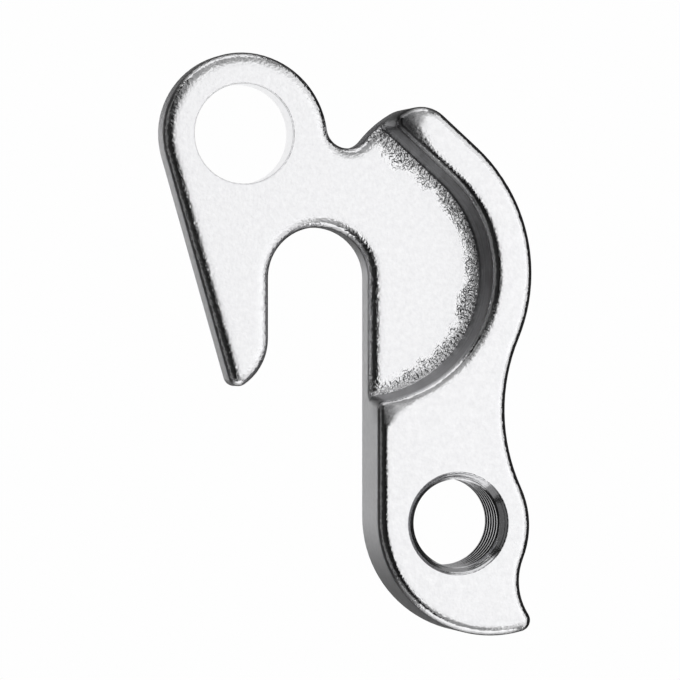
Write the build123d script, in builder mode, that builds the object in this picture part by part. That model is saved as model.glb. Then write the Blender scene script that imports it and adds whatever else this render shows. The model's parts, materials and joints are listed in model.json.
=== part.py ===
# Bicycle derailleur hanger, one aluminium piece, in millimetres.
# It lies on its flat outer face. The origin is the axis of the derailleur thread, at that face.
# +X points to the rear of the bicycle, +Y up towards the frame and +Z to the wheel.

import os
from math import acos, degrees, radians, sqrt, tan
from build123d import *

# Thickness of the plate that sits against the frame, and of the arm and rim beside it
plate_thickness = 3.6
arm_thickness = 8.0

# Derailleur thread, M10 by 1, with a countersunk mouth and a broken edge at the outer face
thread_diameter = 10.0
thread_mouth_depth = 0.28
thread_mouth_angle = 90.0
thread_edge_break = 0.3

# Axle slot, measured from the thread to the centre of its round end
axle_forward_of_thread = 13.5
axle_above_thread = 25.0
axle_diameter = 10.0
axle_clearance = 0.4

# Ring head with the hole for the frame bolt, measured from the axle; its rear half is a little fuller
head_forward_of_axle = 7.85
head_above_axle = 14.68
head_wall = 3.2
head_rear_fullness = 0.7
head_rear_angle = 80.0
frame_bolt_diameter = 10.0
frame_bolt_clearance = 0.2
frame_bolt_edge_break = 0.15

# Finger beside the slot: its pointed end, measured from the slot, and the hook on its inner side
finger_tip_from_slot = 3.08
finger_tip_below_axle = 9.92
finger_tip_radius = 1.1
finger_hook_radius = 5.6

# Step between plate and rim: an arc about a centre beside the axle, with a draughted wall
step_centre_behind_axle = 4.15
step_centre_above_axle = 0.5
step_radius = 12.6
step_draught = 7.0
step_foot_radius = 0.4

# Rim outside the step: an arc about the same centre, then a straight run with a round corner and a full end
rim_width = 4.65
rim_run_angle = 48.0
rim_run_length = 8.22
rim_corner_radius = 3.4
rim_end_radius = 12.0
rim_end_turn = 17.5

# Notch between the end of the rim and the head
notch_radius = 2.2

# Arm: its round side by the thread, the hollow flank above, the heel, and the tail that stops the derailleur
side_forward_of_thread = 1.58
side_below_thread = 0.26
side_radius = 9.24
flank_radius = 18.7
heel_radius = 12.0
heel_above_thread = 0.5
tail_angle = 74.5
tail_tip_radius = 1.15
tail_hollow_radius = 6.27

# Rounded edges: large towards the wheel, within these shares of the tips and the crest, and small outside
front_edge_radius = 1.0
most_of_a_tip = 0.92
most_of_the_crest = 0.45
back_edge_radius = 0.3

# The most that an upright wall's normal may rise or fall
upright_tolerance = 0.01

# How far the cleared block reaches past the part
recess_margin = 20.0


def toward(centre, radius, target):
    """The point of a circle that faces a target."""
    return centre + (target - centre).normalized() * radius


def tangent_centre(centre_a, reach_a, centre_b, reach_b):
    """The point at these distances from two centres, on the left when looking from a to b."""
    gap = centre_b - centre_a
    along = (reach_a**2 - reach_b**2 + gap.length**2) / (2 * gap.length)
    aside = sqrt(reach_a**2 - along**2)
    forward = gap.normalized()
    return centre_a + forward * along + forward.rotate(Axis.Z, 90) * aside


# Centres of the main circles
thread = Vector(0, 0)
axle = thread + Vector(-axle_forward_of_thread, axle_above_thread)
head = axle + Vector(-head_forward_of_axle, head_above_axle)
rim = axle + Vector(step_centre_behind_axle, step_centre_above_axle)
side = thread - Vector(side_forward_of_thread, side_below_thread)

# Derailleur thread: its mouth widens with the countersink's depth and angle
thread_radius = thread_diameter / 2
thread_mouth_radius = thread_radius + thread_mouth_depth * tan(radians(thread_mouth_angle / 2))

# Axle slot: its front side is the finger, and its rear side runs on down as the edge of the arm
slot_radius = (axle_diameter + axle_clearance) / 2
slot_front_x = axle.X - slot_radius
slot_rear_x = axle.X + slot_radius
slot_front_point = Vector(slot_front_x, axle.Y)
slot_rear_point = Vector(slot_rear_x, axle.Y)

# Ring head: the rear arc takes over from the front one at an angle, about a centre a little further back
frame_bolt_radius = (frame_bolt_diameter + frame_bolt_clearance) / 2
head_radius = frame_bolt_radius + head_wall
head_rear_radius = head_radius + head_rear_fullness
head_rear_direction = Vector(1, 0).rotate(Axis.Z, head_rear_angle)
head_rear = head - head_rear_direction * head_rear_fullness
head_top_point = head + head_rear_direction * head_radius

# Finger: the tip lies inside the hook's circle, and the outer edge touches both the tip and the head
tip = Vector(slot_front_x - finger_tip_from_slot, axle.Y - finger_tip_below_axle)
hook_x = slot_front_x - finger_hook_radius
hook_rise = sqrt((finger_hook_radius - finger_tip_radius) ** 2 - (hook_x - tip.X) ** 2)
hook = Vector(hook_x, tip.Y + hook_rise)
finger_line = head - tip
finger_lean = degrees(acos((finger_tip_radius - head_radius) / finger_line.length))
finger_outward = finger_line.normalized().rotate(Axis.Z, finger_lean)
tip_outer_point = tip + finger_outward * finger_tip_radius
head_outer_point = head + finger_outward * head_radius
hook_slot_point = Vector(slot_front_x, hook.Y)
hook_tip_point = toward(hook, finger_hook_radius, tip)

# Straight run of the rim: its two directions, the round corner, and the full end that takes over from it
rim_radius = step_radius + rim_width
across_run = Vector(1, 0).rotate(Axis.Z, rim_run_angle)
along_run = across_run.rotate(Axis.Z, 90)
corner_across = across_run * (rim_radius - rim_corner_radius)
corner_along = along_run * (rim_run_length - rim_corner_radius)
rim_corner = rim + corner_across + corner_along
end_direction = along_run.rotate(Axis.Z, -rim_end_turn)
rim_end = rim_corner - end_direction * (rim_end_radius - rim_corner_radius)
run_start_point = rim + across_run * rim_radius
run_stop_point = rim_corner + across_run * rim_corner_radius
corner_end_point = rim_corner + end_direction * rim_corner_radius

# Notch: it touches the rear of the head and the end of the rim
notch = tangent_centre(head_rear, head_rear_radius + notch_radius, rim_end, rim_end_radius + notch_radius)
head_notch_point = toward(head_rear, head_rear_radius, notch)
notch_end_point = toward(rim_end, rim_end_radius, notch)

# Arm: the flank touches rim and side, the heel touches the slot's edge, the hollow touches side and tail
flank = tangent_centre(rim, rim_radius + flank_radius, side, side_radius + flank_radius)
heel = Vector(slot_rear_x + heel_radius, thread.Y + heel_above_thread)
tail = heel + Vector(heel_radius - tail_tip_radius, 0).rotate(Axis.Z, -tail_angle)
hollow = tangent_centre(side, side_radius + tail_hollow_radius, tail, tail_tip_radius + tail_hollow_radius)
rim_flank_point = toward(rim, rim_radius, flank)
flank_side_point = toward(side, side_radius, flank)
side_hollow_point = toward(side, side_radius, hollow)
hollow_tail_point = toward(tail, tail_tip_radius, hollow)
tail_heel_point = toward(heel, heel_radius, tail)
heel_edge_point = Vector(slot_rear_x, heel.Y)

# Front rounding, held within the pointed ends and the crest of the rim
step_height = arm_thickness - plate_thickness
crest_width = rim_width - step_height * tan(radians(step_draught))
tip_limit = most_of_a_tip * min(finger_tip_radius, tail_tip_radius)
crest_limit = most_of_the_crest * crest_width
front_rounding = min(front_edge_radius, tip_limit, crest_limit)

# The block that is cleared above the plate: it shapes the step's wall and the rounded foot of that wall,
# leaves the arm across the open slot, and passes below the tip of the finger
step_low_point = rim - Vector(0, step_radius)
step_run_point = rim + across_run * step_radius
step_run_stop = step_run_point + along_run * (rim_run_length + recess_margin)
recess_front_x = head.X - head_radius - recess_margin
recess_low_y = tip.Y - finger_tip_radius - recess_margin
slot_turn_point = Vector(axle.X, step_low_point.Y)

with BuildPart() as recess:
    with BuildSketch(Plane.XY.offset(plate_thickness)):
        with BuildLine():
            finger_side = Polyline((recess_front_x, recess_low_y), (axle.X, recess_low_y), slot_turn_point)
            low_edge = Line(finger_side @ 1, step_low_point)
            step_arc = TangentArc(low_edge @ 1, step_run_point, tangent=low_edge % 1)
            step_run = Line(step_arc @ 1, step_run_stop)
            Polyline(step_run @ 1, (recess_front_x, step_run_stop.Y), finger_side @ 0)
        make_face()
    extrude(amount=step_height + recess_margin, taper=-step_draught)
    fillet(recess.faces().sort_by(Axis.Z)[0].edges(), radius=step_foot_radius)

with BuildPart() as hanger_body:
    # Outline, clockwise from the tip of the finger, each arc tangent to the edge before it
    with BuildSketch():
        with BuildLine():
            finger_edge = Line(tip_outer_point, head_outer_point)
            head_arc = TangentArc(finger_edge @ 1, head_top_point, tangent=finger_edge % 1)
            head_rear_arc = TangentArc(head_arc @ 1, head_notch_point, tangent=head_arc % 1)
            notch_arc = TangentArc(head_rear_arc @ 1, notch_end_point, tangent=head_rear_arc % 1)
            end_arc = TangentArc(notch_arc @ 1, corner_end_point, tangent=notch_arc % 1)
            corner_arc = TangentArc(end_arc @ 1, run_stop_point, tangent=end_arc % 1)
            rim_run = Line(corner_arc @ 1, run_start_point)
            rim_arc = TangentArc(rim_run @ 1, rim_flank_point, tangent=rim_run % 1)
            flank_arc = TangentArc(rim_arc @ 1, flank_side_point, tangent=rim_arc % 1)
            side_arc = TangentArc(flank_arc @ 1, side_hollow_point, tangent=flank_arc % 1)
            hollow_arc = TangentArc(side_arc @ 1, hollow_tail_point, tangent=side_arc % 1)
            tail_arc = TangentArc(hollow_arc @ 1, tail_heel_point, tangent=hollow_arc % 1)
            heel_arc = TangentArc(tail_arc @ 1, heel_edge_point, tangent=tail_arc % 1)
            arm_edge = Line(heel_arc @ 1, slot_rear_point)
            slot_arc = TangentArc(arm_edge @ 1, slot_front_point, tangent=arm_edge % 1)
            slot_edge = Line(slot_arc @ 1, hook_slot_point)
            hook_arc = TangentArc(slot_edge @ 1, hook_tip_point, tangent=slot_edge % 1)
            TangentArc(hook_arc @ 1, tip_outer_point, tangent=hook_arc % 1)
        make_face()
    extrude(amount=arm_thickness)
    add(recess.part, mode=Mode.SUBTRACT)

    # Front edges: the upper edges of the upright walls and the crest of the step, rounded in one sweep
    walls = hanger_body.faces().filter_by(lambda face: abs(face.normal_at().Z) < upright_tolerance)
    wall_edges = walls.edges()
    outer_face_edges = hanger_body.faces().sort_by(Axis.Z)[0].edges()
    crest_edges = hanger_body.faces().sort_by(Axis.Z)[-1].edges()
    front_edges = wall_edges - wall_edges.filter_by(Axis.Z) - outer_face_edges
    front_edges = front_edges + (crest_edges - front_edges)
    fillet(front_edges, radius=front_rounding)

    # Outer face: a small rounding all the way round
    fillet(hanger_body.faces().sort_by(Axis.Z)[0].edges(), radius=back_edge_radius)

    # Derailleur thread, drawn at its nominal size, countersunk towards the wheel
    with Locations((thread.X, thread.Y, arm_thickness)):
        CounterSinkHole(
            radius=thread_radius,
            counter_sink_radius=thread_mouth_radius,
            counter_sink_angle=thread_mouth_angle,
        )
    outer_face = hanger_body.faces().sort_by(Axis.Z)[0]
    chamfer(outer_face.inner_wires().edges(), length=thread_edge_break)

    # Frame bolt hole in the ring head, with both edges broken
    with Locations((head.X, head.Y, plate_thickness)):
        Hole(radius=frame_bolt_radius)
    bolt_wall = hanger_body.faces().filter_by(GeomType.CYLINDER).sort_by_distance(Vector(head))[0]
    chamfer(bolt_wall.edges().filter_by(GeomType.CIRCLE), length=frame_bolt_edge_break)

hanger_body.part.label = "hanger_body"

os.makedirs("parts", exist_ok=True)
export_step(hanger_body.part, "parts/hanger_body.step")
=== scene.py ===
import json
import math

import bmesh
import bpy
from mathutils import Matrix, Vector


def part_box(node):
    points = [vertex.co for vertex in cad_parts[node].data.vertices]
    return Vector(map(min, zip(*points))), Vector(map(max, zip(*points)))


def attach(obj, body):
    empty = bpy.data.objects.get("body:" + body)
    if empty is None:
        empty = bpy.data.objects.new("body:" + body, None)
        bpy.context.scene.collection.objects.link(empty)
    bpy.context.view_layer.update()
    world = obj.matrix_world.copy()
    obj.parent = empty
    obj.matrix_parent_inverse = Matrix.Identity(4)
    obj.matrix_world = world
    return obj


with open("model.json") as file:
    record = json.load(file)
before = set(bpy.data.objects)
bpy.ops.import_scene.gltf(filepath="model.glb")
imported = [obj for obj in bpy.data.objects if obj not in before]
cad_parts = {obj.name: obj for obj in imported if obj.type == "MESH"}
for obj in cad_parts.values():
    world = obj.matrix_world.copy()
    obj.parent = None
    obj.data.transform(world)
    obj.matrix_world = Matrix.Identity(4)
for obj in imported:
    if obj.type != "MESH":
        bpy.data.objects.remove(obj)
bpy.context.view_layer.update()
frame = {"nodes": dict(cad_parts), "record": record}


# Hanger body: the plate, ring head, finger, rim, arm and tail are one piece of aluminium alloy.
# Its flats are satin, its rounded edges are tumbled bright and its upright walls look milled,
# so it mirrors the light softly and breaks it into fine sparkle wherever it curves.
MM = 0.001

hanger_body = frame["nodes"]["hanger_body"]
mounts = {mount["name"]: mount for mount in frame["record"]["mounts"]}
arm_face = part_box("hanger_body")[1].z
plate_face = mounts["dropout_seat"]["pos_m"][2]


def linear(hex_colour):
    """An sRGB hex colour as linear red, green, blue and alpha."""
    channels = [int(hex_colour[start:start + 2], 16) / 255 for start in (1, 3, 5)]
    return [
        channel / 12.92 if channel <= 0.04045 else ((channel + 0.055) / 1.055) ** 2.4
        for channel in channels
    ] + [1.0]


def add_node(tree, kind, settings=None, sockets=None, links=None):
    """Adds a node, sets its properties and input sockets, and links other nodes' outputs into it."""
    made = tree.nodes.new(kind)
    for name, value in (settings or {}).items():
        setattr(made, name, value)
    for name, value in (sockets or {}).items():
        made.inputs[name].default_value = value
    for name, output in (links or {}).items():
        tree.links.new(output, made.inputs[name])
    return made


# Tumbled aluminium: a pale metal, satin on the flats and polished where it rolls over softly towards
# an edge, most of all at the two free corners of the crest, which carry painted shade. Round the drilled
# holes it is crisp. Fine pits tilt the surface by a few degrees, and they stay deep in the corner
# along the foot of the step, where the tumbling stones don't reach.
# The pits are drawn wider than tumbling leaves them, so that they show.
# Edge, painted shade and steep limits say how far a surface faces up, from 0 for upright to 1 for level.
mottle_dull, mottle_clean = "#E4E4E6", "#FEFEFF"
mottle_size = 0.6 * MM
polished_roughness, flat_roughness = 0.08, 0.28
pit_size = 0.33 * MM
pit_depth = 0.026 * MM
plate_edge_pit_depth, arm_edge_pit_depth = 0.058 * MM, 0.030 * MM
corner_pit_depth = 0.24 * MM
edge_from, edge_to = 0.997, 0.975
steep_from, steep_to = 0.97, 0.80
rim_clear_from, rim_clear_to = 0.9 * MM, 1.9 * MM
plate_roll, crest_roll, arm_roll = 1.4 * MM, 1.1 * MM, 0.7 * MM
roll_samples = 8
corner_roll = 4.6 * MM
corner_strength = 1.7
crest_corners = (
    (Vector((-6.6, 40.9, 8.0)) * MM, 6.0 * MM),
    (Vector((-8.3, 12.4, 8.0)) * MM, 4.5 * MM),
)
crest_side_from, crest_side_to = 2.4 * MM, 3.6 * MM
# The crest corner tone is painted shade, laid on the rolled-over metal at the two free corners of the crest.
crest_corner_shade_tone = "#6E6E70"
painted_shade_from, painted_shade_to = 0.985, 0.94
lower_painted_shade, upper_painted_shade = 0.45, 1.0

# The foot of the step: an arc round a centre, and a straight run that leaves its end
step_centre = Vector((-9.35, 25.5, 0)) * MM
step_radius = 12.6 * MM
step_run_angle = math.radians(48)
across_run = Vector((math.cos(step_run_angle), math.sin(step_run_angle), 0))
along_run = Vector((-math.sin(step_run_angle), math.cos(step_run_angle), 0))
corner_reach, corner_full = 2.0 * MM, 0.6 * MM
wander_size, wander = 2.5 * MM, 3.0 * MM
crest_from, crest_to = 0.40 * MM, 0.50 * MM

# The upright walls are as a mill leaves them: satin, with lines along them and hardly a pit.
# The lines are drawn further apart than a mill leaves them, so that they show.
# The first tone is the step's wall, drawn a darker grey than the rest of the metal; the second is a painted
# shadow line in the corner at the foot of the step.
step_wall_tone, foot_shadow_tone = "#B4B4B6", "#606062"
milled_roughness = 0.36
wall_from, wall_to = 0.55, 0.30
side_from, side_to = 0.45, 0.15
wall_pit_depth = 0.006 * MM
mill_line_size = 0.7 * MM
mill_line_depth = 0.05 * MM
# Where the painted shadow line at the foot of the step lies: its half width, its dark core, and the span
# along the step over which it fades in.
foot_shadow_half, foot_shadow_core = 0.12 * MM, 0.024 * MM
foot_shadow_from, foot_shadow_to = 20.0 * MM, 30.0 * MM

# Socket numbers of a mix node, when it mixes colours and when it mixes vectors
first_colour, second_colour, mixed_colour = 6, 7, 2
first_vector, second_vector, mixed_vector = 4, 5, 1

tumbled_aluminium = bpy.data.materials.new("tumbled_aluminium")
tumbled_aluminium.use_nodes = True
tree = tumbled_aluminium.node_tree
shader = tree.nodes["Principled BSDF"]
shader.inputs["Metallic"].default_value = 1.0

# A faint mottle of clean and slightly dulled metal
body_point = add_node(tree, "ShaderNodeTexCoord").outputs["Object"]
mottle = add_node(
    tree, "ShaderNodeTexNoise", sockets={"Scale": 1 / mottle_size, "Detail": 3.0, "Roughness": 0.7},
    links={"Vector": body_point},
).outputs["Fac"]
mottled = add_node(
    tree, "ShaderNodeMix", {"data_type": "RGBA"},
    {first_colour: linear(mottle_dull), second_colour: linear(mottle_clean)}, {"Factor": mottle},
).outputs[mixed_colour]

# How far a point lies outside the foot of the step: from the arc, or past its end from the straight run
offset = add_node(
    tree, "ShaderNodeVectorMath", {"operation": "SUBTRACT"}, {1: step_centre}, {0: body_point},
).outputs["Vector"]
level_offset = add_node(
    tree, "ShaderNodeVectorMath", {"operation": "MULTIPLY"}, {1: (1, 1, 0)}, {0: offset},
).outputs["Vector"]
from_centre = add_node(
    tree, "ShaderNodeVectorMath", {"operation": "LENGTH"}, links={0: level_offset},
).outputs["Value"]
across = add_node(
    tree, "ShaderNodeVectorMath", {"operation": "DOT_PRODUCT"}, {1: across_run}, {0: level_offset},
).outputs["Value"]
along = add_node(
    tree, "ShaderNodeVectorMath", {"operation": "DOT_PRODUCT"}, {1: along_run}, {0: level_offset},
).outputs["Value"]
on_run = add_node(
    tree, "ShaderNodeMath", {"operation": "GREATER_THAN"}, {1: 0.0}, {0: along},
).outputs["Value"]
step_distance = add_node(
    tree, "ShaderNodeMix", links={"Factor": on_run, "A": from_centre, "B": across},
).outputs["Result"]

# The pitted corner: it fades in across the plate up to the foot, with a wandering border,
# and out again over the crest; its upright part is the milled wall, which has hardly a pit
wandering = add_node(
    tree, "ShaderNodeTexNoise", sockets={"Scale": 1 / wander_size, "Detail": 1.0},
    links={"Vector": body_point},
).outputs["Fac"]
border_shift = add_node(
    tree, "ShaderNodeMapRange", sockets={"To Min": -wander / 2, "To Max": wander / 2},
    links={"Value": wandering},
).outputs["Result"]
shifted = add_node(
    tree, "ShaderNodeMath", {"operation": "ADD"}, links={0: step_distance, 1: border_shift},
).outputs["Value"]
corner_in = add_node(
    tree, "ShaderNodeMapRange", {"interpolation_type": "LINEAR"},
    {"From Min": step_radius - corner_reach, "From Max": step_radius - corner_full},
    {"Value": shifted},
).outputs["Result"]
foot_in = add_node(
    tree, "ShaderNodeMath", {"operation": "GREATER_THAN"},
    {1: step_radius - foot_shadow_half}, {0: step_distance},
).outputs["Value"]
corner_out = add_node(
    tree, "ShaderNodeMapRange", {"interpolation_type": "SMOOTHSTEP"},
    {"From Min": step_radius + crest_to, "From Max": step_radius + crest_from}, {"Value": step_distance},
).outputs["Result"]
shape = add_node(tree, "ShaderNodeNewGeometry").outputs["Normal"]
facing = add_node(tree, "ShaderNodeSeparateXYZ", links={0: shape}).outputs["Z"]
upright = add_node(
    tree, "ShaderNodeMapRange", {"interpolation_type": "SMOOTHSTEP"},
    {"From Min": wall_from, "From Max": wall_to}, {"Value": facing},
).outputs["Result"]
body_height = add_node(tree, "ShaderNodeSeparateXYZ", links={0: body_point}).outputs["Z"]
above_plate = add_node(
    tree, "ShaderNodeMath", {"operation": "GREATER_THAN"},
    {1: plate_face - foot_shadow_half}, {0: body_height},
).outputs["Value"]
foot_to_crest = add_node(
    tree, "ShaderNodeMath", {"operation": "MULTIPLY"}, links={0: foot_in, 1: corner_out},
).outputs["Value"]
by_the_step = add_node(
    tree, "ShaderNodeMath", {"operation": "MULTIPLY"}, links={0: foot_to_crest, 1: above_plate},
).outputs["Value"]
milled = add_node(
    tree, "ShaderNodeMath", {"operation": "MULTIPLY"}, links={0: by_the_step, 1: upright},
).outputs["Value"]
corner = add_node(
    tree, "ShaderNodeMath", {"operation": "MULTIPLY"}, links={0: corner_in, 1: corner_out},
).outputs["Value"]
not_upright = add_node(
    tree, "ShaderNodeMath", {"operation": "SUBTRACT"}, {0: 1.0}, {1: upright},
).outputs["Value"]
pitted = add_node(
    tree, "ShaderNodeMath", {"operation": "MULTIPLY"}, links={0: corner, 1: not_upright},
).outputs["Value"]
flatness = add_node(
    tree, "ShaderNodeMath", {"operation": "ABSOLUTE"}, links={0: facing},
).outputs["Value"]
side_wall = add_node(
    tree, "ShaderNodeMapRange", {"interpolation_type": "SMOOTHSTEP"},
    {"From Min": side_from, "From Max": side_to}, {"Value": flatness},
).outputs["Result"]
mill_cut = add_node(
    tree, "ShaderNodeMath", {"operation": "MAXIMUM"}, links={0: milled, 1: side_wall},
).outputs["Value"]
line_depth = add_node(
    tree, "ShaderNodeMath", {"operation": "MULTIPLY"}, {1: mill_line_depth}, {0: mill_cut},
).outputs["Value"]

# The step's wall is drawn a darker grey than the rest of the metal, and a fine painted shadow line lies in
# the corner at its foot, along the upper part of the step
towards_frame = add_node(tree, "ShaderNodeSeparateXYZ", links={0: body_point}).outputs["Y"]
upper_part = add_node(
    tree, "ShaderNodeMapRange", {"interpolation_type": "SMOOTHSTEP"},
    {"From Min": foot_shadow_from, "From Max": foot_shadow_to}, {"Value": towards_frame},
).outputs["Result"]
outside_foot = add_node(
    tree, "ShaderNodeMath", {"operation": "SUBTRACT"}, {1: step_radius}, {0: step_distance},
).outputs["Value"]
foot_distance = add_node(
    tree, "ShaderNodeMath", {"operation": "ABSOLUTE"}, links={0: outside_foot},
).outputs["Value"]
at_foot = add_node(
    tree, "ShaderNodeMapRange", {"interpolation_type": "SMOOTHSTEP"},
    {"From Min": foot_shadow_half, "From Max": foot_shadow_core}, {"Value": foot_distance},
).outputs["Result"]
at_upper_foot = add_node(
    tree, "ShaderNodeMath", {"operation": "MULTIPLY"}, links={0: at_foot, 1: upper_part},
).outputs["Value"]
painted_foot_shadow = add_node(
    tree, "ShaderNodeMath", {"operation": "MULTIPLY"}, links={0: at_upper_foot, 1: above_plate},
).outputs["Value"]
greyed = add_node(
    tree, "ShaderNodeMix", {"data_type": "RGBA"}, {second_colour: linear(step_wall_tone)},
    {"Factor": milled, first_colour: mottled},
).outputs[mixed_colour]
foot_shadowed = add_node(
    tree, "ShaderNodeMix", {"data_type": "RGBA"}, {second_colour: linear(foot_shadow_tone)},
    {"Factor": painted_foot_shadow, first_colour: greyed},
).outputs[mixed_colour]

# The roll-over belongs to the flats: next to the drilled holes, and where the rounded edges turn steep,
# the metal keeps its own shape
flat = add_node(
    tree, "ShaderNodeMapRange", {"interpolation_type": "SMOOTHSTEP"},
    {"From Min": steep_to, "From Max": steep_from}, {"Value": facing},
).outputs["Result"]
for mount_name, hole_face in (("derailleur_thread", arm_face), ("frame_bolt_hole", plate_face)):
    drilled = mounts[mount_name]
    drilled_radius = drilled["dims"]["r_mm"] * MM
    rim_middle = Vector((drilled["pos_m"][0], drilled["pos_m"][1], hole_face))
    from_hole = add_node(
        tree, "ShaderNodeVectorMath", {"operation": "DISTANCE"}, {1: rim_middle}, {0: body_point},
    ).outputs["Value"]
    clear = add_node(
        tree, "ShaderNodeMapRange", {"interpolation_type": "SMOOTHSTEP"},
        {"From Min": drilled_radius + rim_clear_from, "From Max": drilled_radius + rim_clear_to},
        {"Value": from_hole},
    ).outputs["Result"]
    flat = add_node(
        tree, "ShaderNodeMath", {"operation": "MULTIPLY"}, links={0: flat, 1: clear},
    ).outputs["Value"]
near_corner = None
for corner_point, corner_range in crest_corners:
    to_corner = add_node(
        tree, "ShaderNodeVectorMath", {"operation": "DISTANCE"}, {1: corner_point}, {0: body_point},
    ).outputs["Value"]
    nearness = add_node(
        tree, "ShaderNodeMapRange", {"interpolation_type": "SMOOTHSTEP"},
        {"From Max": corner_range, "To Min": 1.0, "To Max": 0.0}, {"Value": to_corner},
    ).outputs["Result"]
    near_corner = nearness if near_corner is None else add_node(
        tree, "ShaderNodeMath", {"operation": "MAXIMUM"}, links={0: near_corner, 1: nearness},
    ).outputs["Value"]
crest_side = add_node(
    tree, "ShaderNodeMapRange", {"interpolation_type": "SMOOTHSTEP"},
    {"From Min": step_radius + crest_side_to, "From Max": step_radius + crest_side_from},
    {"Value": step_distance},
).outputs["Result"]
crest_corner = add_node(
    tree, "ShaderNodeMath", {"operation": "MULTIPLY"}, links={0: near_corner, 1: crest_side},
).outputs["Value"]
upper_roll = add_node(
    tree, "ShaderNodeMapRange", sockets={"To Min": arm_roll, "To Max": crest_roll},
    links={"Value": crest_side},
).outputs["Result"]
edge_roll = add_node(
    tree, "ShaderNodeMapRange", {"interpolation_type": "LINEAR"},
    {"From Min": plate_face, "From Max": arm_face, "To Min": plate_roll},
    {"Value": body_height, "To Max": upper_roll},
).outputs["Result"]
roll = add_node(
    tree, "ShaderNodeMapRange", sockets={"To Max": corner_roll},
    links={"Value": crest_corner, "To Min": edge_roll},
).outputs["Result"]
roll_strength = add_node(
    tree, "ShaderNodeMapRange", sockets={"To Min": 1.0, "To Max": corner_strength},
    links={"Value": crest_corner},
).outputs["Result"]
roll_share = add_node(
    tree, "ShaderNodeMath", {"operation": "MULTIPLY"}, links={0: flat, 1: roll_strength},
).outputs["Value"]
softened = add_node(
    tree, "ShaderNodeBevel", {"samples": roll_samples}, links={"Radius": roll},
).outputs["Normal"]
rolled_shape = add_node(
    tree, "ShaderNodeMix", {"data_type": "VECTOR", "clamp_factor": False},
    links={"Factor": roll_share, first_vector: shape, second_vector: softened},
).outputs[mixed_vector]
rolled = add_node(
    tree, "ShaderNodeVectorMath", {"operation": "NORMALIZE"}, links={0: rolled_shape},
).outputs["Vector"]

# The two free corners of the crest get painted shade where they roll over, the upper one more than the lower
turned_up = add_node(tree, "ShaderNodeSeparateXYZ", links={0: rolled}).outputs["Z"]
rolled_over = add_node(
    tree, "ShaderNodeMapRange", {"interpolation_type": "SMOOTHSTEP"},
    {"From Min": painted_shade_from, "From Max": painted_shade_to}, {"Value": turned_up},
).outputs["Result"]
corner_painted_shade = add_node(
    tree, "ShaderNodeMapRange", sockets={"To Min": lower_painted_shade, "To Max": upper_painted_shade},
    links={"Value": upper_part},
).outputs["Result"]
corner_over = add_node(
    tree, "ShaderNodeMath", {"operation": "MULTIPLY"}, links={0: crest_corner, 1: rolled_over},
).outputs["Value"]
painted_shade = add_node(
    tree, "ShaderNodeMath", {"operation": "MULTIPLY"}, links={0: corner_over, 1: corner_painted_shade},
).outputs["Value"]
corner_shaded = add_node(
    tree, "ShaderNodeMix", {"data_type": "RGBA"}, {second_colour: linear(crest_corner_shade_tone)},
    {"Factor": painted_shade, first_colour: foot_shadowed},
).outputs[mixed_colour]
tree.links.new(corner_shaded, shader.inputs["Base Color"])

# Roughness: satin on the flats, polished over the rolled edges and in the pitted corner,
# and as a mill leaves it on the walls
edge_roughness = add_node(
    tree, "ShaderNodeMapRange", {"interpolation_type": "SMOOTHSTEP"},
    {"From Min": edge_to, "From Max": edge_from, "To Min": polished_roughness, "To Max": flat_roughness},
    {"Value": turned_up},
).outputs["Result"]
top_roughness = add_node(
    tree, "ShaderNodeMapRange", sockets={"To Max": polished_roughness},
    links={"Value": pitted, "To Min": edge_roughness},
).outputs["Result"]
roughness = add_node(
    tree, "ShaderNodeMapRange", sockets={"To Max": milled_roughness},
    links={"Value": mill_cut, "To Min": top_roughness},
).outputs["Result"]
tree.links.new(roughness, shader.inputs["Roughness"])

# Mill lines at constant heights, then the pits: shallow on the flats, deeper over the rolled edges,
# deepest in the corner of the step and hardly any on the walls
full_edge_depth = add_node(
    tree, "ShaderNodeMapRange", {"interpolation_type": "LINEAR"},
    {
        "From Min": plate_face, "From Max": arm_face,
        "To Min": plate_edge_pit_depth, "To Max": arm_edge_pit_depth,
    },
    {"Value": body_height},
).outputs["Result"]
edge_depth = add_node(
    tree, "ShaderNodeMapRange", {"interpolation_type": "SMOOTHSTEP"},
    {"From Min": edge_from, "From Max": edge_to, "To Min": pit_depth},
    {"Value": turned_up, "To Max": full_edge_depth},
).outputs["Result"]
top_depth = add_node(
    tree, "ShaderNodeMapRange", sockets={"To Max": corner_pit_depth},
    links={"Value": pitted, "To Min": edge_depth},
).outputs["Result"]
grain_depth = add_node(
    tree, "ShaderNodeMapRange", sockets={"To Max": wall_pit_depth},
    links={"Value": side_wall, "To Min": top_depth},
).outputs["Result"]
mill_lines = add_node(
    tree, "ShaderNodeTexNoise", {"noise_dimensions": "1D"}, {"Scale": 1 / mill_line_size, "Detail": 2.0},
    {"W": body_height},
).outputs["Fac"]
lined = add_node(
    tree, "ShaderNodeBump", sockets={"Strength": 1.0},
    links={"Height": mill_lines, "Distance": line_depth, "Normal": rolled},
).outputs["Normal"]
pits = add_node(
    tree, "ShaderNodeTexNoise", sockets={"Scale": 1 / pit_size, "Detail": 1.0, "Roughness": 0.5},
    links={"Vector": body_point},
).outputs["Fac"]
grained = add_node(
    tree, "ShaderNodeBump", sockets={"Strength": 1.0},
    links={"Height": pits, "Distance": grain_depth, "Normal": lined},
).outputs["Normal"]
tree.links.new(grained, shader.inputs["Normal"])

# The mesh comes as loose triangles, so modifiers weld it and shade it evenly
weld_distance = 0.001 * MM
hanger_body.data.materials.clear()
hanger_body.data.materials.append(tumbled_aluminium)
weld = hanger_body.modifiers.new("weld", "WELD")
weld.merge_threshold = weld_distance
even = hanger_body.modifiers.new("even_shading", "WEIGHTED_NORMAL")
even.keep_sharp = True


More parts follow.
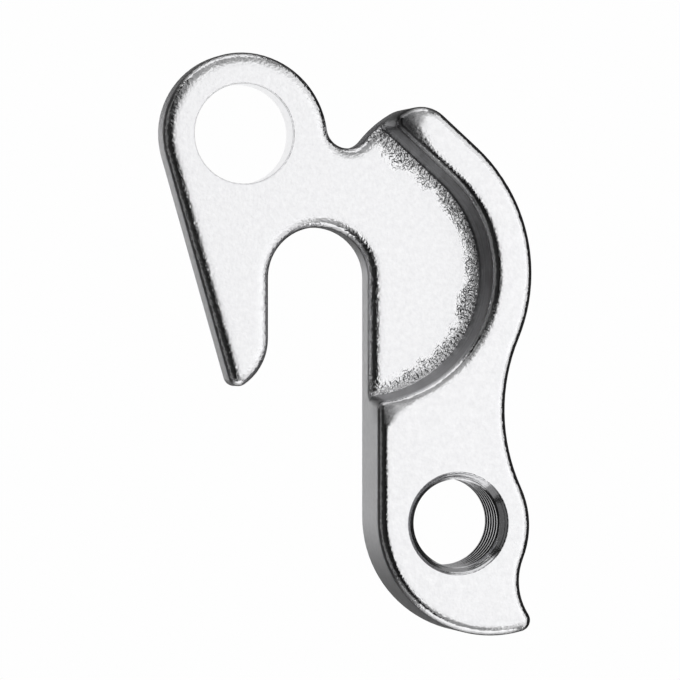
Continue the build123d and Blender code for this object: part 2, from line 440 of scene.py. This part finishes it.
# Derailleur thread: a metric fine thread tapped through the arm, with a countersunk mouth
# at each face that cuts its first turn away. It is the same metal, freshly cut.
thread_mount = mounts["derailleur_thread"]
thread_axis = Vector(thread_mount["pos_m"])
thread_radius = thread_mount["dims"]["r_mm"] * MM
thread_pitch = 1.0 * MM
depth_per_pitch = 0.541
thread_depth = depth_per_pitch * thread_pitch
root_clearance = 0.02 * MM
root_radius = thread_radius - root_clearance
crest_radius = thread_radius - thread_depth
root_flat = thread_pitch / 8
crest_flat = thread_pitch / 4
flank_run = (thread_pitch - root_flat - crest_flat) / 2
crest_start = root_flat + flank_run
mouth_depth = 0.28 * MM
back_break = 0.30 * MM
seat_depth = 0.05 * MM
skin = 0.012 * MM
turn_in = 2 * skin
thread_foot = thread_axis.z + back_break
thread_top = arm_face - mouth_depth
lead_in = 1.5 * thread_pitch
spare_turns = 2
turns = math.ceil((thread_top - thread_foot) / thread_pitch) + spare_turns
steps_per_turn = 144
merge_distance = 0.002 * MM
cut_tolerance = 1e-8
level_tolerance = 0.001 * MM

# One turn's profile is swept up the helix, and the ends are cut off level
thread_shape = bmesh.new()
profile_heights = [0, root_flat, crest_start, crest_start + crest_flat, thread_pitch]
profile_radii = [root_radius, root_radius, crest_radius, crest_radius, root_radius]
start_height = thread_foot - lead_in
profile_points = [
    thread_shape.verts.new((profile_radius, 0, start_height + profile_height))
    for profile_radius, profile_height in zip(profile_radii, profile_heights)
]
profile_lines = [thread_shape.edges.new(pair) for pair in zip(profile_points, profile_points[1:])]
bmesh.ops.spin(
    thread_shape, geom=profile_points + profile_lines, cent=(0, 0, 0), axis=(0, 0, 1),
    dvec=(0, 0, thread_pitch / steps_per_turn), angle=turns * math.tau, steps=turns * steps_per_turn,
    use_merge=False, use_duplicate=False,
)
bmesh.ops.remove_doubles(thread_shape, verts=thread_shape.verts, dist=merge_distance)
for end_height, outward in ((thread_foot, -1), (thread_top, 1)):
    bmesh.ops.bisect_plane(
        thread_shape, geom=thread_shape.verts[:] + thread_shape.edges[:] + thread_shape.faces[:],
        dist=cut_tolerance, plane_co=(0, 0, end_height), plane_no=(0, 0, outward), clear_outer=True,
    )

# The countersinks: what stands inside either cone is cut back to it
for vertex in thread_shape.verts:
    axis_distance = Vector((vertex.co.x, vertex.co.y)).length
    front_cone = root_radius - (thread_top - vertex.co.z)
    back_cone = root_radius - (vertex.co.z - thread_foot)
    cut_radius = max(axis_distance, front_cone, back_cone)
    vertex.co.x *= cut_radius / axis_distance
    vertex.co.y *= cut_radius / axis_distance

# At each end the cone runs on to the face, a hair proud of the arm's own metal, and turns in behind it,
# where a wall joins the two ends
outer_loops = []
for end_height, outward, run in ((thread_foot, -1, back_break), (thread_top, 1, mouth_depth)):
    face_radius = thread_radius + run
    loop = [
        edge for edge in thread_shape.edges
        if edge.is_boundary and all(abs(end.co.z - end_height) < level_tolerance for end in edge.verts)
    ]
    for loop_radius, rise in ((face_radius - skin, run - skin), (face_radius + seat_depth, -turn_in)):
        grown = bmesh.ops.extrude_edge_only(thread_shape, edges=loop)["geom"]
        for vertex in [item for item in grown if isinstance(item, bmesh.types.BMVert)]:
            axis_distance = Vector((vertex.co.x, vertex.co.y)).length
            vertex.co.x *= loop_radius / axis_distance
            vertex.co.y *= loop_radius / axis_distance
            vertex.co.z += outward * rise
        loop = [item for item in grown if isinstance(item, bmesh.types.BMEdge)]
    outer_loops += loop
bmesh.ops.bridge_loops(thread_shape, edges=outer_loops)
bmesh.ops.translate(thread_shape, verts=thread_shape.verts, vec=(thread_axis.x, thread_axis.y, 0))
bmesh.ops.recalc_face_normals(thread_shape, faces=thread_shape.faces)

thread_mesh = bpy.data.meshes.new("derailleur_thread")
thread_shape.to_mesh(thread_mesh)
thread_shape.free()
derailleur_thread = bpy.data.objects.new("derailleur_thread", thread_mesh)
bpy.context.scene.collection.objects.link(derailleur_thread)

# Cut aluminium: the same alloy as a tap leaves it, with crisp edges, slightly uneven along the cut.
# The chatter and the turning marks are drawn coarser than a tap leaves them, so that they show.
cut_tone = "#E2E2E4"
cut_roughness = 0.16
chatter_size = 0.35 * MM
chatter_depth = 0.010 * MM
turning_size = 0.16 * MM
turning_depth = 0.02 * MM

cut_aluminium = bpy.data.materials.new("cut_aluminium")
cut_aluminium.use_nodes = True
tree = cut_aluminium.node_tree
shader = tree.nodes["Principled BSDF"]
shader.inputs["Base Color"].default_value = linear(cut_tone)
shader.inputs["Metallic"].default_value = 1.0
shader.inputs["Roughness"].default_value = cut_roughness
thread_point = add_node(tree, "ShaderNodeTexCoord").outputs["Object"]
chatter = add_node(
    tree, "ShaderNodeTexNoise", sockets={"Scale": 1 / chatter_size, "Detail": 2.0},
    links={"Vector": thread_point},
).outputs["Fac"]
chattered = add_node(
    tree, "ShaderNodeBump", sockets={"Strength": 1.0, "Distance": chatter_depth},
    links={"Height": chatter},
).outputs["Normal"]
along_axis = add_node(tree, "ShaderNodeSeparateXYZ", links={0: thread_point}).outputs["Z"]
turning_marks = add_node(
    tree, "ShaderNodeTexNoise", {"noise_dimensions": "1D"}, {"Scale": 1 / turning_size, "Detail": 1.0},
    {"W": along_axis},
).outputs["Fac"]
turned = add_node(
    tree, "ShaderNodeBump", sockets={"Strength": 1.0, "Distance": turning_depth},
    links={"Height": turning_marks, "Normal": chattered},
).outputs["Normal"]
tree.links.new(turned, shader.inputs["Normal"])
thread_mesh.materials.append(cut_aluminium)
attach(derailleur_thread, "root")


# Floor: a plain pale table that the hanger lies on, evenly white to look at.
# To the metal it is a satin sheet, which mirrors the cards round about into the walls and lower edges,
# and under the two holes it glows white to the metal too, a painted pool of light, less so under the deep
# one.
floor_half = 3.0
floor_drop = 0.02 * MM
satin_tone, white_tone = "#F4F4F4", "#FEFEFE"
satin_roughness = 0.36

floor_shape = bmesh.new()
bmesh.ops.create_grid(floor_shape, x_segments=1, y_segments=1, size=floor_half)
bmesh.ops.translate(floor_shape, verts=floor_shape.verts, vec=(0, 0, -floor_drop))
floor_mesh = bpy.data.meshes.new("floor")
floor_shape.to_mesh(floor_mesh)
floor_shape.free()
floor = bpy.data.objects.new("floor", floor_mesh)
bpy.context.scene.collection.objects.link(floor)

pale_table = bpy.data.materials.new("pale_table")
pale_table.use_nodes = True
tree = pale_table.node_tree
satin = tree.nodes["Principled BSDF"]
satin.inputs["Base Color"].default_value = linear(satin_tone)
satin.inputs["Metallic"].default_value = 1.0
satin.inputs["Roughness"].default_value = satin_roughness
white = add_node(tree, "ShaderNodeEmission", sockets={"Color": linear(white_tone)}).outputs["Emission"]
seen = add_node(tree, "ShaderNodeLightPath").outputs["Is Camera Ray"]
floor_point = add_node(tree, "ShaderNodeTexCoord").outputs["Object"]
whiteness = seen
# Under each hole the floor glows for reflected rays: a painted pool of light, weaker under the deep thread.
for mount_name, painted_pool_share in (("frame_bolt_hole", 1.0), ("derailleur_thread", 0.40)):
    hole = mounts[mount_name]
    from_axis = add_node(
        tree, "ShaderNodeVectorMath", {"operation": "DISTANCE"},
        {1: (hole["pos_m"][0], hole["pos_m"][1], 0)}, {0: floor_point},
    ).outputs["Value"]
    inside = add_node(
        tree, "ShaderNodeMath", {"operation": "LESS_THAN"}, {1: hole["dims"]["r_mm"] * MM}, {0: from_axis},
    ).outputs["Value"]
    painted_pool = add_node(
        tree, "ShaderNodeMath", {"operation": "MULTIPLY"}, {1: painted_pool_share}, {0: inside},
    ).outputs["Value"]
    whiteness = add_node(
        tree, "ShaderNodeMath", {"operation": "MAXIMUM"}, links={0: whiteness, 1: painted_pool},
    ).outputs["Value"]
surface = add_node(
    tree, "ShaderNodeMixShader", links={0: whiteness, 1: satin.outputs["BSDF"], 2: white},
).outputs["Shader"]
tree.links.new(surface, tree.nodes["Material Output"].inputs["Surface"])
floor_mesh.materials.append(pale_table)


# Light: a bright soft panel overhead, to the rear of the hanger, with dimmer wings and spill on both sides
# and dim fills to the front; cards standing round the table, dim to the front; a grey card overhead
# for the table alone; and a dark room around it all. Some of them light the body or the thread alone.
card_away = 1.1
lights_middle = 20 * MM
room_tone = "#1A1A1A"

on_hanger = bpy.data.collections.new("lit_with_the_hanger")
for piece in (hanger_body, derailleur_thread):
    on_hanger.objects.link(piece)
on_body = bpy.data.collections.new("lit_with_the_body")
on_body.objects.link(hanger_body)
on_thread = bpy.data.collections.new("lit_with_the_thread")
on_thread.objects.link(derailleur_thread)
on_table = bpy.data.collections.new("lit_with_the_table")
on_table.objects.link(floor)


def add_panel(name, place, aim, width, length, radiance, receivers):
    """A soft rectangular light at a place, pointed at another, for everything or for some pieces alone."""
    light = bpy.data.lights.new(name, "AREA")
    light.shape = "RECTANGLE"
    light.size, light.size_y = width, length
    light.energy = radiance * math.pi * width * length
    panel = bpy.data.objects.new(name, light)
    panel.location = place
    panel.rotation_euler = (Vector(aim) - Vector(place)).to_track_quat("-Z", "Y").to_euler()
    panel.light_linking.receiver_collection = receivers
    bpy.context.scene.collection.objects.link(panel)


# Overhead: each light's height, where its four edges stand in degrees off the vertical, its radiance
# and the pieces that it lights
for light_name, light_height, left_angle, right_angle, low_angle, high_angle, radiance, receivers in (
    ("panel", 0.90, -6, 50, -24, 24, 0.81, on_hanger),
    ("panel_wing_above", 0.90, 20, 50, 24, 50, 0.46, on_hanger),
    ("panel_wing_below", 0.90, 20, 50, -50, -24, 0.46, on_hanger),
    ("spill", 0.92, -6, 50, -70, 70, 0.27, on_hanger),
    ("spill_above", 0.92, -16, -6, 30, 58, 0.22, on_thread),
    ("fill_above", 0.94, -24, -6, 14, 66, 0.40, on_body),
    ("fill_above_far", 0.96, -50, -24, 36, 70, 0.30, on_body),
    ("fill_above_dim", 0.98, -50, -24, 22, 36, 0.08, on_body),
    ("fill_below", 0.94, -14, -6, -66, -22, 0.30, on_body),
    ("table_card", 0.90, -30, -9, -9, 9, 1.95, on_table),
):
    left, right, lower, upper = (
        light_height * math.tan(math.radians(angle))
        for angle in (left_angle, right_angle, low_angle, high_angle)
    )
    light_place = Vector(((left + right) / 2, (lower + upper) / 2 + lights_middle, light_height))
    straight_down = light_place - Vector((0, 0, 1))
    add_panel(light_name, light_place, straight_down, right - left, upper - lower, radiance, receivers)

# Round the table: each card's direction, its width, where its lower and upper edges stand in degrees
# above the table, its radiance and the pieces that it lights, with None for all of them
for card_name, card_way, card_width, low_angle, high_angle, radiance, receivers in (
    ("card_above", (-0.14, 0.99, 0), 1.3, 0, 22, 0.70, None),
    ("card_above_wings", (0, 1.03, 0), 2.4, 0, 20, 0.25, None),
    ("card_below", (0, -1, 0), 1.1, 0, 30, 0.75, None),
    ("card_below_wings", (0, -1.03, 0), 2.4, 0, 26, 0.25, None),
    ("card_right", (1, 0, 0), 3.0, 14, 42, 0.73, on_body),
    ("card_left", (-1, 0, 0), 1.6, 6, 24, 0.11, on_body),
    ("card_left_high", (-1.01, 0, 0), 1.3, 24, 54, 0.012, on_body),
    ("card_below_left", (-0.72, -0.72, 0), 0.9, 12, 36, 0.08, on_body),
    ("card_left_low", (-1, 0, 0), 2.4, 0, 6, 0.20, on_body),
    ("card_left_dim", (-1.03, 0, 0), 1.6, 6, 22, 0.12, on_thread),
):
    card_foot = card_away * math.tan(math.radians(low_angle))
    card_top = card_away * math.tan(math.radians(high_angle))
    card_place = Vector(card_way) * card_away + Vector((0, lights_middle, (card_foot + card_top) / 2))
    inwards = card_place - Vector(card_way)
    add_panel(card_name, card_place, inwards, card_width, card_top - card_foot, radiance, receivers)

room = bpy.data.worlds.new("room")
room.use_nodes = True
background = room.node_tree.nodes["Background"]
background.inputs["Color"].default_value = linear(room_tone)
background.inputs["Strength"].default_value = 1.0
bpy.context.scene.world = room
bpy.context.scene.view_settings.view_transform = "Standard"


# Camera: nearly overhead, leaning a little to the front of the hanger.
# Its lens gives the picture its scale at the distance of the hanger.
camera_tilt = math.radians(12.5)
camera_distance = 500 * MM
camera_target = Vector((-11.4634, 18.6813, 4.0)) * MM
pixels_per_mm = 9.8
picture_width = 680

camera = bpy.data.cameras.new("camera")
camera.sensor_width = 36.0
camera.lens = camera.sensor_width * pixels_per_mm / MM * camera_distance / picture_width
camera.clip_start, camera.clip_end = 0.01, 20.0
camera_object = bpy.data.objects.new("camera", camera)
to_right = Vector((math.cos(camera_tilt), 0, math.sin(camera_tilt)))
to_top = Vector((0, 1, 0))
to_eye = Vector((-math.sin(camera_tilt), 0, math.cos(camera_tilt)))
turn = Matrix((to_right, to_top, to_eye)).transposed().to_4x4()
camera_object.matrix_world = Matrix.Translation(camera_target + to_eye * camera_distance) @ turn
bpy.context.scene.collection.objects.link(camera_object)
bpy.context.scene.camera = camera_object
